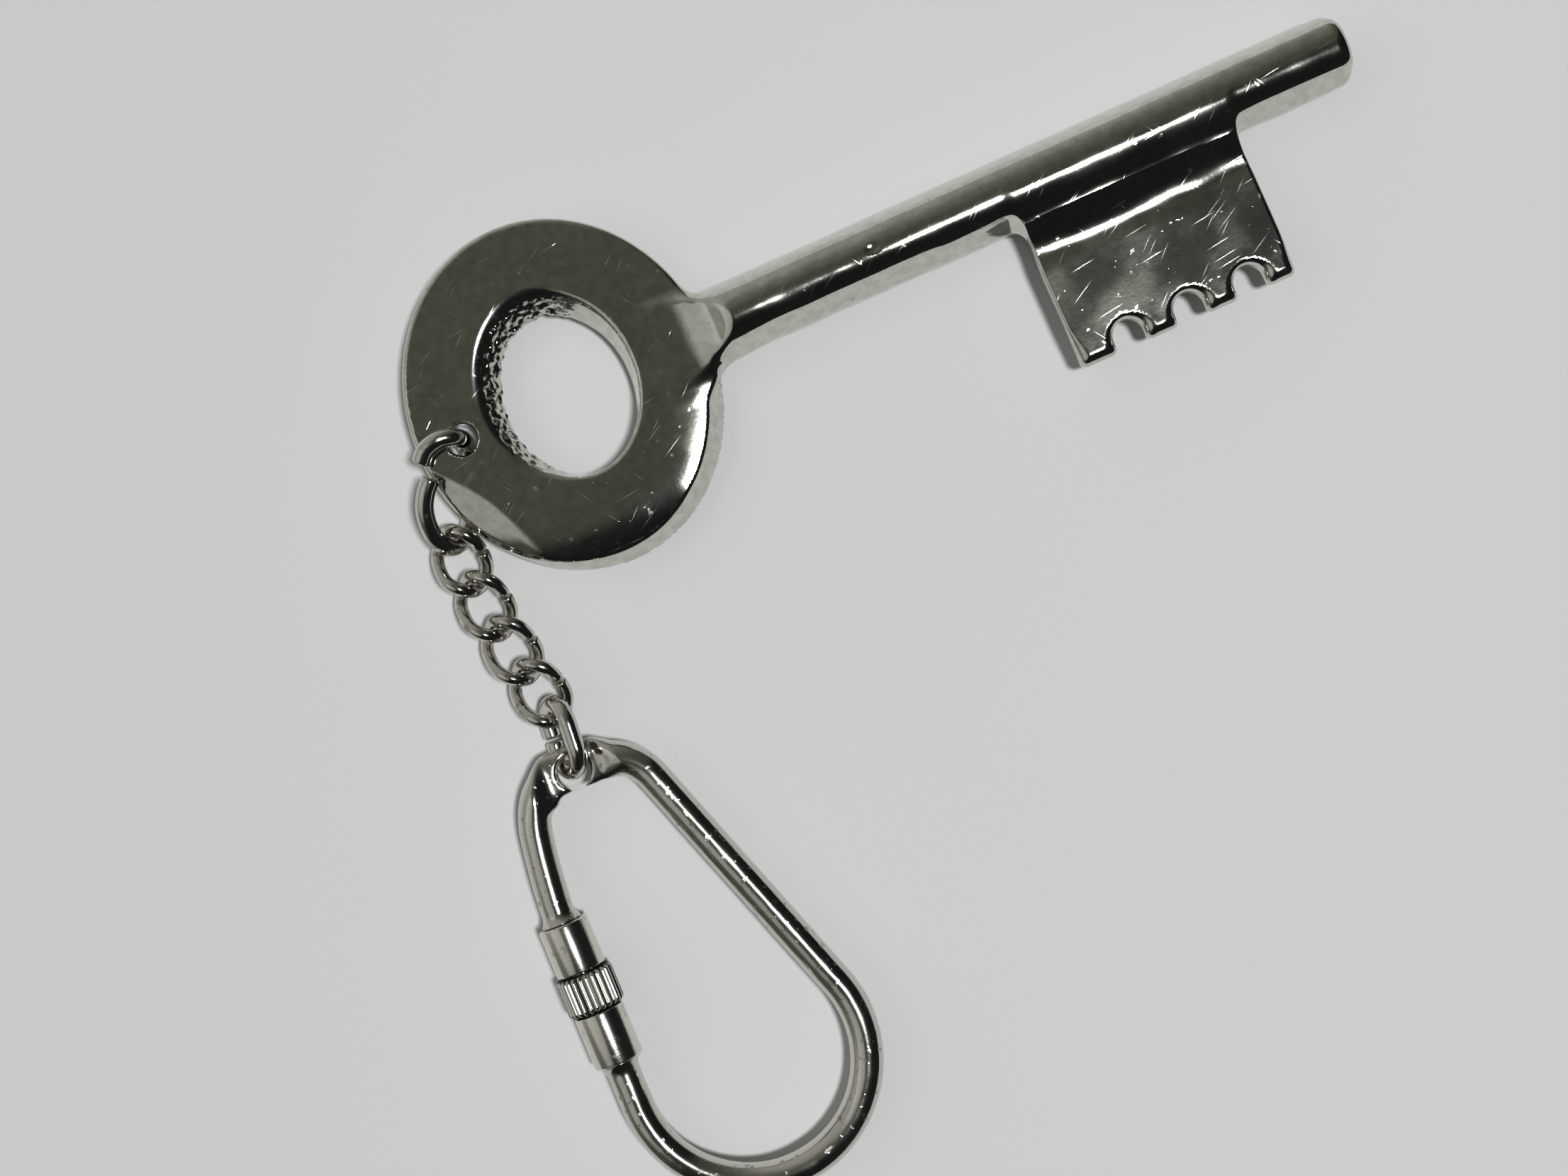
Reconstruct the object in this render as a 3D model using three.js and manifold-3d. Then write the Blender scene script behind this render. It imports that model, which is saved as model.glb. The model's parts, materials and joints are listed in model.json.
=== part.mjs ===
// A cast key-shaped fob hanging on a short chain from a screw-lock keyring loop.
// Millimetres, +Z up. The origin is on the flat back of the stem, on its centre line,
// where the stem leaves the bow. +X runs along the stem to its tip; the bit is on -Y.
import * as THREE from "three";
import { mergeVertices } from "three/addons/utils/BufferGeometryUtils.js";
import Module from "manifold-3d";

const wasm = await Module();
wasm.setup();

// ---------------------------------------------------------------- driving dimensions
// Key casting
const STEM_LENGTH = 68;
const STEM_WIDTH = 8.1;
const STEM_TIP_RADIUS = 1.4;
const BOW_CENTRE_TO_ROOT = 20;
const BOW_HALF_LENGTH = 16.2; // along the stem
const BOW_HALF_WIDTH = 18.5; // across the stem
const BOW_THICKNESS = 3.0;
const BOW_EDGE_SLOPE = 1.3;
const OVAL_TOP = { x: 0.1, y: 1.0, rx: 7.8, ry: 9.7 }; // rim of the oval hole on the top face
const OVAL_BACK = { x: 0.6, y: -0.3, rx: 6.3, ry: 8.3 }; // rim on the back face
const RING_HOLE_TO_BOW_CENTRE = 11.4;
const RING_HOLE_PLAY = 0.65; // between the key ring's wire and the hole's wall
const RING_HOLE_FLARE = 0.7;
const SCOOP_END = -1.0; // where the neck's scoop reaches the stem's full height
const SCOOP_LENGTH = 3.6;
const BIT_START = 29.9; // distance of the bit's near side from the root
const BIT_LENGTH = 24.2;
const BIT_DEPTH = 19.4; // from the stem's centre line to the ends of the teeth
const BIT_THICKNESS = 3.0;
const TOOTH_WIDTHS = [4.1, 3.5, 3.4, 3.2];
const NOTCH_DEPTH = 3.0;

// Rings and chain
const RING_WIRE_RADIUS = 0.95;
const RING_TO_BOW_GAP = 0.2; // above and below the bow's rim, and to the ground
const LINK_WIRE_RADIUS = 0.7;
const LINK_HALF_LENGTH = 3.43; // of the wire's centre line
const LINK_HALF_WIDTH = 2.38;
const LINK_TWIST_DEG = 55; // crown against the middle of the link
const CROWN_CLEARANCE = 0.15; // between two interlocked crowns
const CHAIN_HEADINGS_DEG = [272, 275.5, 278.5, 281];
const LOOP_RING_HALF_LENGTH = 3.65;
const LOOP_RING_LEAN_DEG = 30; // from upright
const LOOP_RING_HEADING_DEG = 264.3;
const CUT_GAP = 0.35; // between the two cut ends of a closed ring or link

// Keyring loop, in its own frame: origin at the eye, barrel parallel to Y
const LOOP_HEADING_DEG = -1.5;
const LOOP_WIRE_RADIUS = 1.75;
const BARREL_X = -7.13;
const BARREL_TOP_Y = -14.1;
const BOTTOM_ARC_RADIUS = 12.33;
const BOTTOM_ARC_Y = -34.6;
const LONG_SIDE_DEG = 109.2; // direction of the long straight side
const TOP_Y = 0.35;
const TOP_RIGHT_RADIUS = 6;
const EYE_PLAY = 0.9; // between the loop ring's wire and the eye's wall
const EYE_WALL = 0.8;
const EYE_HALF_THICKNESS = 0.85;
const EYE_END_LENGTH = 1.5; // flattened wire on each side of the eye

// Screw lock, measured along the barrel
const FERRULE_WALL = 0.75;
const UPPER_FERRULE_LENGTH = 5.25;
const LOWER_FERRULE_LENGTH = 5.7;
const COLLAR_STEP = 0.4; // the knurl's tips stand this far out of the ferrules
const COLLAR_LENGTH = 4.15;
const COLLAR_RIDGES = 26;
const RIDGE_DEPTH = 0.22;
const RUNNING_GAP = 0.15; // between faces that turn or slide on each other
const THREAD_RADIUS = 1.5;
const JOURNAL_STEP = 0.3; // the journal is this much thinner than the thread, in radius
const HEAD_LENGTH = 0.7;
const THREAD_ENGAGED = 3.0;
const FERRULE_END_WALL = 1.0;
const WIRE_INSERT = 2.3; // how far each wire end goes into its ferrule

const radians = THREE.MathUtils.degToRad;

// ---------------------------------------------------------------- fits
// The bow stands high enough for the key ring to pass under it, and the stem, bow and
// bit are all centred on the casting's parting plane.
const MID_HEIGHT = 2 * (RING_WIRE_RADIUS + RING_TO_BOW_GAP) + BOW_THICKNESS / 2;
const RING_HOLE_RADIUS = RING_WIRE_RADIUS + RING_HOLE_PLAY;
const EYE_RADIUS = RING_WIRE_RADIUS + EYE_PLAY;
const WIRE_BORE = LOOP_WIRE_RADIUS + RUNNING_GAP;
const FERRULE_RADIUS = WIRE_BORE + FERRULE_WALL;
const COLLAR_RADIUS = FERRULE_RADIUS + COLLAR_STEP;
const JOURNAL_RADIUS = THREAD_RADIUS - JOURNAL_STEP;
const HEAD_RADIUS = WIRE_BORE - 2 * RUNNING_GAP;
const LOOP_HEIGHT = COLLAR_RADIUS; // the collar lies on the ground, and so does the loop ring
const LOOP_RING_HALF_WIDTH = (LOOP_HEIGHT - RING_WIRE_RADIUS) / Math.cos(radians(LOOP_RING_LEAN_DEG));

// ---------------------------------------------------------------- materials
const nickel = (colour, roughness) =>
  new THREE.MeshStandardMaterial({ color: colour, metalness: 1, roughness });
const castNickel = nickel(0xb9b6a8, 0.22);
const wireNickel = nickel(0xc3c1b8, 0.18);
const turnedNickel = nickel(0xc8c6be, 0.2);

// ---------------------------------------------------------------- solids and booleans
function toSolid(geometry) {
  const bare = geometry.clone();
  bare.deleteAttribute("normal");
  bare.deleteAttribute("uv");
  const merged = mergeVertices(bare, 1e-4);
  return new wasm.Manifold(
    new wasm.Mesh({
      numProp: 3,
      vertProperties: new Float32Array(merged.attributes.position.array),
      triVerts: new Uint32Array(merged.index.array),
    }),
  );
}

function toGeometry(solid) {
  const mesh = solid.getMesh();
  const geometry = new THREE.BufferGeometry();
  geometry.setAttribute("position", new THREE.BufferAttribute(mesh.vertProperties, mesh.numProp));
  geometry.setIndex(new THREE.BufferAttribute(mesh.triVerts, 1));
  geometry.computeVertexNormals();
  return geometry;
}

function named(name, geometry, material) {
  const mesh = new THREE.Mesh(geometry, material);
  mesh.name = name;
  return mesh;
}

function regularPolygon(radius, sides) {
  const points = [];
  for (let i = 0; i < sides; i++) {
    const angle = (2 * Math.PI * i) / sides;
    points.push(new THREE.Vector2(radius * Math.cos(angle), radius * Math.sin(angle)));
  }
  return new THREE.Shape(points);
}

// A round wire along a curve, closed by a flat cut at each end.
function wire(curve, radius, sides, steps) {
  return new THREE.ExtrudeGeometry(regularPolygon(radius, sides), { steps, extrudePath: curve });
}

// ---------------------------------------------------------------- key casting
const BOW_X = -BOW_CENTRE_TO_ROOT;
const RING_HOLE_X = BOW_X - RING_HOLE_TO_BOW_CENTRE;

function makeBow() {
  const outline = new THREE.Shape();
  outline.absellipse(BOW_X, 0, BOW_HALF_LENGTH, BOW_HALF_WIDTH, 0, 2 * Math.PI);
  const bevel = BOW_THICKNESS * 0.4;
  const plate = new THREE.ExtrudeGeometry(outline, {
    depth: BOW_THICKNESS - 2 * bevel,
    bevelThickness: bevel,
    bevelSize: BOW_EDGE_SLOPE,
    bevelOffset: -BOW_EDGE_SLOPE,
    bevelSegments: 2,
    curveSegments: 28,
  });
  plate.translate(0, 0, MID_HEIGHT - BOW_THICKNESS / 2 + bevel);
  return toSolid(plate);
}

// The oval hole slopes from its wide rim on the top face to a smaller rim on the back.
function makeOvalCutter() {
  const overrun = 1;
  const height = BOW_THICKNESS + 2 * overrun;
  const cutter = new THREE.CylinderGeometry(1, 1, height, 40);
  cutter.rotateX(Math.PI / 2);
  const position = cutter.attributes.position;
  for (let i = 0; i < position.count; i++) {
    const part = (position.getZ(i) + height / 2 - overrun) / BOW_THICKNESS;
    const mix = (key) => THREE.MathUtils.lerp(OVAL_BACK[key], OVAL_TOP[key], part);
    const x = BOW_X + mix("x") + position.getX(i) * mix("rx");
    const y = mix("y") + position.getY(i) * mix("ry");
    position.setXYZ(i, x, y, MID_HEIGHT + position.getZ(i));
  }
  return toSolid(cutter);
}

function makeRingHoleCutter() {
  const half = BOW_THICKNESS / 2 + 0.2;
  const wide = RING_HOLE_RADIUS + RING_HOLE_FLARE;
  const profile = [
    [0, -half],
    [wide, -half],
    [RING_HOLE_RADIUS, -half + 1],
    [RING_HOLE_RADIUS, half - 1],
    [wide, half],
    [0, half],
  ].map(([r, y]) => new THREE.Vector2(r, y));
  const cutter = new THREE.LatheGeometry(profile, 24);
  cutter.rotateX(Math.PI / 2);
  cutter.translate(RING_HOLE_X, 0, MID_HEIGHT);
  return toSolid(cutter);
}

// Half of the stem's section as [distance from the centre line, height]; the sides draft
// in from the parting plane to a flat back below and a rounded back above.
const STEM_TOP = 2 * MID_HEIGHT;
const STEM_INNER_END = BOW_X + OVAL_TOP.x + OVAL_TOP.rx + 2; // buried in the bow
const halfSection = [
  [STEM_WIDTH / 2 - 1.0, 0],
  [STEM_WIDTH / 2 - 0.45, 0.45],
  [STEM_WIDTH / 2, MID_HEIGHT - 0.6],
  [STEM_WIDTH / 2 - 0.15, MID_HEIGHT + 0.6],
  [STEM_WIDTH / 2 - 0.9, STEM_TOP - 1.4],
  [STEM_WIDTH / 2 - 1.7, STEM_TOP - 0.45],
  [STEM_WIDTH / 2 - 2.8, STEM_TOP],
];

function makeStem() {
  const start = STEM_INNER_END;
  const mirrored = halfSection.map(([y, z]) => [-y, z]).reverse();
  const section = new THREE.Shape([...halfSection, ...mirrored].map(([y, z]) => new THREE.Vector2(y, z)));
  const bar = new THREE.ExtrudeGeometry(section, { depth: STEM_LENGTH - start, bevelEnabled: false });
  const along = new THREE.Matrix4().makeBasis(
    new THREE.Vector3(0, 1, 0),
    new THREE.Vector3(0, 0, 1),
    new THREE.Vector3(1, 0, 0),
  );
  bar.applyMatrix4(along);
  bar.translate(start, 0, 0);

  const half = STEM_WIDTH / 2;
  const plan = new THREE.Shape();
  plan.moveTo(start - 1, -half - 1);
  plan.lineTo(STEM_LENGTH - STEM_TIP_RADIUS, -half - 0.01);
  plan.absarc(STEM_LENGTH - STEM_TIP_RADIUS, -half + STEM_TIP_RADIUS, STEM_TIP_RADIUS, -Math.PI / 2, 0);
  plan.absarc(STEM_LENGTH - STEM_TIP_RADIUS, half - STEM_TIP_RADIUS, STEM_TIP_RADIUS, 0, Math.PI / 2);
  plan.lineTo(start - 1, half + 1);
  const keep = new THREE.ExtrudeGeometry(plan, {
    depth: STEM_TOP + 2,
    bevelEnabled: false,
    curveSegments: 6,
  });
  keep.translate(0, 0, -1);
  return toSolid(bar).intersect(toSolid(keep));
}

// A scoop leads from the bow's face up to the top of the stem, and its twin below leads
// down to the stem's back.
function makeNeckCutter(side) {
  const face = MID_HEIGHT + (side * BOW_THICKNESS) / 2;
  const reach = STEM_INNER_END - 1;
  const depth = BOW_THICKNESS + STEM_TOP;
  const rise = (STEM_TOP - BOW_THICKNESS) / 2 + 0.1; // to just past the stem's own face
  const profile = new THREE.Shape();
  profile.moveTo(reach, face);
  profile.lineTo(SCOOP_END - SCOOP_LENGTH, face);
  profile.quadraticCurveTo(SCOOP_END - 1.1, face + side * 0.1, SCOOP_END, face + side * rise);
  profile.lineTo(SCOOP_END, face + side * depth);
  profile.lineTo(reach, face + side * depth);
  const block = new THREE.ExtrudeGeometry(profile, {
    depth: STEM_WIDTH + 2,
    bevelEnabled: false,
    curveSegments: 6,
  });
  block.rotateX(Math.PI / 2);
  block.translate(0, STEM_WIDTH / 2 + 1, 0);
  return toSolid(block);
}

function makeBit() {
  const corner = 0.8;
  const toothLine = -BIT_DEPTH;
  const notchLine = -BIT_DEPTH + NOTCH_DEPTH;
  const end = BIT_START + BIT_LENGTH;
  const notchCount = TOOTH_WIDTHS.length - 1;
  const toothTotal = TOOTH_WIDTHS.reduce((sum, width) => sum + width, 0);
  const notchRadius = (BIT_LENGTH - toothTotal) / notchCount / 2;
  const outline = new THREE.Shape();
  outline.moveTo(BIT_START - 1.6, 0);
  outline.lineTo(BIT_START - 1.6, -STEM_WIDTH / 2 + 0.4);
  outline.quadraticCurveTo(BIT_START - 0.3, -STEM_WIDTH / 2 - 0.6, BIT_START - 0.1, -STEM_WIDTH / 2 - 3);
  let x = BIT_START;
  TOOTH_WIDTHS.forEach((width, index) => {
    outline.lineTo(x, toothLine + corner);
    outline.quadraticCurveTo(x, toothLine, x + corner, toothLine);
    outline.lineTo(x + width - corner, toothLine);
    outline.quadraticCurveTo(x + width, toothLine, x + width, toothLine + corner);
    x += width;
    if (index < notchCount) {
      outline.lineTo(x, notchLine - notchRadius);
      outline.absarc(x + notchRadius, notchLine - notchRadius, notchRadius, Math.PI, 0, true);
      x += 2 * notchRadius;
    }
  });
  outline.lineTo(end, -STEM_WIDTH / 2 - 1.5);
  outline.quadraticCurveTo(end + 0.2, -STEM_WIDTH / 2 - 0.1, end + 1.2, -STEM_WIDTH / 2 + 0.4);
  outline.lineTo(end + 1.2, 0);
  const bevel = 0.35;
  const plate = new THREE.ExtrudeGeometry(outline, {
    depth: BIT_THICKNESS - 2 * bevel,
    bevelThickness: bevel,
    bevelSize: bevel,
    bevelOffset: -bevel,
    bevelSegments: 1,
    curveSegments: 5,
  });
  plate.translate(0, 0, MID_HEIGHT - BIT_THICKNESS / 2 + bevel);
  return toSolid(plate);
}

function makeKeyCasting() {
  const stem = makeStem().subtract(makeNeckCutter(1)).subtract(makeNeckCutter(-1));
  const casting = makeBow().add(stem).add(makeBit());
  return toGeometry(casting.subtract(makeOvalCutter()).subtract(makeRingHoleCutter()));
}

// ---------------------------------------------------------------- rings and links
// A round-ended oval wire, cut through in the middle of one straight side.
function ovalCurve(halfLength, halfWidth, twistDeg) {
  const straight = halfLength - halfWidth;
  const path = new THREE.Path();
  path.moveTo(halfWidth, -CUT_GAP / 2);
  path.lineTo(halfWidth, -straight);
  path.absarc(0, -straight, halfWidth, 0, -Math.PI, true);
  path.lineTo(-halfWidth, straight);
  path.absarc(0, straight, halfWidth, Math.PI, 0, true);
  path.lineTo(halfWidth, CUT_GAP / 2);
  const points = path.getSpacedPoints(40).map(({ x, y }) => {
    const turn = radians((twistDeg * y) / halfLength);
    return new THREE.Vector3(x * Math.cos(turn), y, x * Math.sin(turn));
  });
  return new THREE.CatmullRomCurve3(points);
}

// Places a part whose own -Y points along the chain at a heading in the ground plane.
function placeAlong(object, point, headingDeg, distance) {
  const heading = radians(headingDeg);
  const x = point.x + distance * Math.cos(heading);
  const y = point.y + distance * Math.sin(heading);
  object.position.set(x, y, LOOP_HEIGHT);
  object.rotation.z = heading + Math.PI / 2;
  return new THREE.Vector2(x, y);
}

// The key ring is sprung open and out of flat: it rises through the bow's small hole,
// crosses over the rim, runs down outside it, and returns to the hole under the bow.
// Each point is [distance from the hole along the stem, distance across it, height].
const underBow = RING_WIRE_RADIUS + RING_TO_BOW_GAP;
const overBow = 2 * MID_HEIGHT - underBow;
const keyRingPoints = [
  [-4.75, -0.7, overBow + 0.05],
  [-3.6, 0.35, overBow + 0.3],
  [-2.0, 0.75, overBow + 0.4],
  [-0.6, 0.45, overBow - 0.05],
  [-0.02, 0.08, MID_HEIGHT + 1.2],
  [0, 0, MID_HEIGHT - 0.1],
  [-0.1, -0.35, underBow + 1.05],
  [-0.45, -1.5, underBow + 0.05],
  [-1.4, -4.2, underBow - 0.05],
  [-2.7, -7.0, underBow + 0.05],
  [-4.0, -8.9, underBow + 0.75],
  [-5.5, -9.57, LOOP_HEIGHT],
  [-6.5, -8.7, MID_HEIGHT + 0.5],
  [-6.7, -7.0, MID_HEIGHT + 1.5],
  [-6.3, -5.1, overBow - 0.45],
  [-5.4, -3.6, overBow - 0.05],
  [-4.35, -2.5, overBow + 0.1],
].map(([x, y, z]) => new THREE.Vector3(RING_HOLE_X + x, y, z));
const keyRingCrown = keyRingPoints[11];

function makeKeyRing() {
  return wire(new THREE.CatmullRomCurve3(keyRingPoints), RING_WIRE_RADIUS, 10, 56);
}

const linkCurve = ovalCurve(LINK_HALF_LENGTH, LINK_HALF_WIDTH, LINK_TWIST_DEG);
const makeChainLink = () => wire(linkCurve, LINK_WIRE_RADIUS, 8, 36);

// Half the distance between two interlocked crowns, and the pitch that it leaves.
const linkHook = LINK_WIRE_RADIUS + CROWN_CLEARANCE / 2;
const ringHook = RING_WIRE_RADIUS + CROWN_CLEARANCE / 2;
const linkPitch = 2 * (LINK_HALF_LENGTH - linkHook);

// ---------------------------------------------------------------- keyring loop
const FERRULE_TOP_Y = BARREL_TOP_Y;
const COLLAR_TOP_Y = FERRULE_TOP_Y - UPPER_FERRULE_LENGTH - RUNNING_GAP;
const COLLAR_BOTTOM_Y = COLLAR_TOP_Y - COLLAR_LENGTH;
const LOWER_TOP_Y = COLLAR_BOTTOM_Y - RUNNING_GAP;
const LOWER_BOTTOM_Y = LOWER_TOP_Y - LOWER_FERRULE_LENGTH;

function loopCurve() {
  const arcX = BARREL_X + BOTTOM_ARC_RADIUS;
  const side = radians(LONG_SIDE_DEG);
  const tangent = side - Math.PI / 2;
  const sideStart = new THREE.Vector2(
    arcX + BOTTOM_ARC_RADIUS * Math.cos(tangent),
    BOTTOM_ARC_Y + BOTTOM_ARC_RADIUS * Math.sin(tangent),
  );
  const topArcY = TOP_Y - TOP_RIGHT_RADIUS;
  const rise = topArcY + TOP_RIGHT_RADIUS * Math.sin(tangent) - sideStart.y;
  const topArcX = sideStart.x + rise / Math.tan(side) - TOP_RIGHT_RADIUS * Math.cos(tangent);
  const path = new THREE.Path();
  path.moveTo(BARREL_X, LOWER_BOTTOM_Y + WIRE_INSERT);
  path.lineTo(BARREL_X, BOTTOM_ARC_Y);
  path.absarc(arcX, BOTTOM_ARC_Y, BOTTOM_ARC_RADIUS, Math.PI, tangent + 2 * Math.PI);
  path.absarc(topArcX, topArcY, TOP_RIGHT_RADIUS, tangent, Math.PI / 2);
  path.lineTo(-1.6, TOP_Y);
  path.bezierCurveTo(-4.3, TOP_Y, -5.7, -2.3, -6.2, -5.2);
  path.quadraticCurveTo(-6.9, -9.2, BARREL_X, BARREL_TOP_Y + 1);
  path.lineTo(BARREL_X, BARREL_TOP_Y - WIRE_INSERT);
  const points = path.getSpacedPoints(120).map(({ x, y }) => new THREE.Vector3(x, y, 0));
  return new THREE.CatmullRomCurve3(points);
}

// The wire is hammered flat and wider around the eye, which is then drilled.
function makeLoopWire() {
  const geometry = wire(loopCurve(), LOOP_WIRE_RADIUS, 12, 110);
  const position = geometry.attributes.position;
  for (let i = 0; i < position.count; i++) {
    const x = position.getX(i);
    const y = position.getY(i) - TOP_Y;
    const away = Math.abs(x) / (EYE_RADIUS + EYE_END_LENGTH);
    if (Math.abs(y) < LOOP_WIRE_RADIUS + 1 && away < 1.5) {
      const flat = 1 - THREE.MathUtils.smoothstep(away, 0.75, 1.5);
      const thin = 1 - flat * (1 - EYE_HALF_THICKNESS / LOOP_WIRE_RADIUS);
      const wide = 1 + flat * ((EYE_RADIUS + EYE_WALL) / LOOP_WIRE_RADIUS - 1);
      position.setXYZ(i, x, TOP_Y + y * wide, position.getZ(i) * thin);
    }
  }
  const drill = new THREE.CylinderGeometry(EYE_RADIUS, EYE_RADIUS, 4 * LOOP_WIRE_RADIUS, 24);
  drill.rotateX(Math.PI / 2);
  return toGeometry(toSolid(geometry).subtract(toSolid(drill)));
}

// ---------------------------------------------------------------- screw lock
// A turned part from its closed profile of [radius, height along the barrel].
function turned(profile, segments) {
  const points = profile.map(([r, y]) => new THREE.Vector2(r, y));
  points.push(points[0].clone());
  return new THREE.LatheGeometry(points, segments);
}

function makeUpperFerrule() {
  const edge = 0.2;
  const top = FERRULE_TOP_Y;
  const bottom = top - UPPER_FERRULE_LENGTH;
  return turned(
    [
      [JOURNAL_RADIUS + RUNNING_GAP, bottom],
      [FERRULE_RADIUS - edge, bottom],
      [FERRULE_RADIUS, bottom + edge],
      [FERRULE_RADIUS, top - edge],
      [FERRULE_RADIUS - edge, top],
      [WIRE_BORE, top],
      [WIRE_BORE, bottom + FERRULE_END_WALL],
      [JOURNAL_RADIUS + RUNNING_GAP, bottom + FERRULE_END_WALL],
    ],
    28,
  );
}

function makeLowerFerrule() {
  const edge = 0.2;
  const threadFloor = LOWER_TOP_Y - THREAD_ENGAGED - RUNNING_GAP;
  return turned(
    [
      [WIRE_BORE, LOWER_BOTTOM_Y],
      [FERRULE_RADIUS - edge, LOWER_BOTTOM_Y],
      [FERRULE_RADIUS, LOWER_BOTTOM_Y + edge],
      [FERRULE_RADIUS, LOWER_TOP_Y - edge],
      [FERRULE_RADIUS - edge, LOWER_TOP_Y],
      [THREAD_RADIUS + RUNNING_GAP, LOWER_TOP_Y],
      [THREAD_RADIUS + RUNNING_GAP, threadFloor + 0.3],
      [WIRE_BORE, threadFloor],
    ],
    28,
  );
}

function makeKnurledCollar() {
  const points = [];
  for (let i = 0; i < 2 * COLLAR_RIDGES; i++) {
    const radius = i % 2 ? COLLAR_RADIUS : COLLAR_RADIUS - RIDGE_DEPTH;
    const angle = (Math.PI * (i + 0.5)) / COLLAR_RIDGES;
    points.push(new THREE.Vector2(radius * Math.cos(angle), radius * Math.sin(angle)));
  }
  const outline = new THREE.Shape(points);
  const bore = new THREE.Path();
  bore.absarc(0, 0, THREAD_RADIUS + RUNNING_GAP, 0, 2 * Math.PI, true);
  outline.holes.push(bore);
  const collar = new THREE.ExtrudeGeometry(outline, {
    depth: COLLAR_LENGTH,
    bevelEnabled: false,
    curveSegments: 12,
  });
  collar.rotateX(-Math.PI / 2);
  collar.translate(0, COLLAR_BOTTOM_Y, 0);
  return collar;
}

// The stud's journal turns in the upper ferrule's end wall, kept there by its head.
function makeThreadedStud() {
  const wallInside = COLLAR_TOP_Y + RUNNING_GAP + FERRULE_END_WALL;
  const headBottom = wallInside + RUNNING_GAP;
  const tip = LOWER_TOP_Y - THREAD_ENGAGED;
  const profile = [
    [0, tip],
    [THREAD_RADIUS - 0.3, tip],
    [THREAD_RADIUS, tip + 0.3],
    [THREAD_RADIUS, COLLAR_TOP_Y],
    [JOURNAL_RADIUS, COLLAR_TOP_Y],
    [JOURNAL_RADIUS, headBottom],
    [HEAD_RADIUS, headBottom],
    [HEAD_RADIUS, headBottom + HEAD_LENGTH],
    [0, headBottom + HEAD_LENGTH],
  ].map(([r, y]) => new THREE.Vector2(r, y));
  return new THREE.LatheGeometry(profile, 24);
}

// ---------------------------------------------------------------- assembly
const assembly = new THREE.Group();
assembly.add(named("key_casting", makeKeyCasting(), castNickel));
assembly.add(named("key_ring", makeKeyRing(), wireNickel));

let pivot = new THREE.Vector2(keyRingCrown.x, keyRingCrown.y + ringHook);
CHAIN_HEADINGS_DEG.forEach((heading, index) => {
  const link = named(`chain_link_${index + 1}`, makeChainLink(), wireNickel);
  const toCentre = LINK_HALF_LENGTH - linkHook;
  pivot = placeAlong(link, pivot, heading, toCentre);
  pivot.x += toCentre * Math.cos(radians(heading));
  pivot.y += toCentre * Math.sin(radians(heading));
  assembly.add(link);
});

const loopRing = named(
  "loop_ring",
  wire(ovalCurve(LOOP_RING_HALF_LENGTH, LOOP_RING_HALF_WIDTH, 0), RING_WIRE_RADIUS, 10, 40),
  wireNickel,
);
const leaning = new THREE.Group();
loopRing.rotation.y = radians(90 + LOOP_RING_LEAN_DEG);
leaning.add(loopRing);
const toRingCentre = LOOP_RING_HALF_LENGTH - ringHook;
const ringCentre = placeAlong(leaning, pivot, LOOP_RING_HEADING_DEG, toRingCentre);
assembly.add(leaning);

const loop = new THREE.Group();
const ringHeading = radians(LOOP_RING_HEADING_DEG);
loop.position.set(
  ringCentre.x + LOOP_RING_HALF_LENGTH * Math.cos(ringHeading),
  ringCentre.y + LOOP_RING_HALF_LENGTH * Math.sin(ringHeading),
  LOOP_HEIGHT,
);
loop.rotation.z = radians(LOOP_HEADING_DEG);
loop.add(named("loop_wire", makeLoopWire(), wireNickel));

const barrel = new THREE.Group();
barrel.position.x = BARREL_X;
barrel.add(named("upper_ferrule", makeUpperFerrule(), turnedNickel));
barrel.add(named("lower_ferrule", makeLowerFerrule(), turnedNickel));
barrel.add(named("knurled_collar", makeKnurledCollar(), turnedNickel));
barrel.add(named("threaded_stud", makeThreadedStud(), turnedNickel));
loop.add(barrel);
assembly.add(loop);

export default assembly;
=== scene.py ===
import json
import math

import bmesh
import bpy
import numpy as np
from mathutils import Matrix, Vector


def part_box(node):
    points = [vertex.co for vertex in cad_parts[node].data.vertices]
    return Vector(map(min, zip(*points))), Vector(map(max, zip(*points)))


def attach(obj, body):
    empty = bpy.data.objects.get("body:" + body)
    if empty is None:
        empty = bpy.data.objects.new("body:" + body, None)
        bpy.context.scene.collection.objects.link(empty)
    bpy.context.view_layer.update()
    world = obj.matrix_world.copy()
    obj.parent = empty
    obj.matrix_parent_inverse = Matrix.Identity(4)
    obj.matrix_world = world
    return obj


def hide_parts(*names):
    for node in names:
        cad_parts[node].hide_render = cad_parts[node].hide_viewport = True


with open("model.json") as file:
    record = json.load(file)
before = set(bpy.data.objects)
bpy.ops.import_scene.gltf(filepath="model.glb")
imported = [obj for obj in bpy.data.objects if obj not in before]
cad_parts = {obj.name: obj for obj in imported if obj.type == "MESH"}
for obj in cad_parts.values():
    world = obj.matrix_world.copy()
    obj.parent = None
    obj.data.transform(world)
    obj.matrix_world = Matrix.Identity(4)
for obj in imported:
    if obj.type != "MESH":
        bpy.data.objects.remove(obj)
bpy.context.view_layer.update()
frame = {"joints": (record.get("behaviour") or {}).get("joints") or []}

# ---------------------------------------------------------------- camera
# The camera looks straight down at the keychain from about a forearm above the table,
# turned so that the key points to the upper right.
MM = 0.001
VIEW_RIGHT = Vector((0.9131, -0.4077, 0))
VIEW_UP = Vector((0.4077, 0.9131, 0))
camera_data = bpy.data.cameras.new("camera")
camera_data.sensor_width = 36
camera_data.lens = 51.4
camera_data.clip_start = 0.01
camera = bpy.data.objects.new("camera", camera_data)
bpy.context.scene.collection.objects.link(camera)
camera.location = Vector((-7.4, -27.4, 235)) * MM
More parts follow.
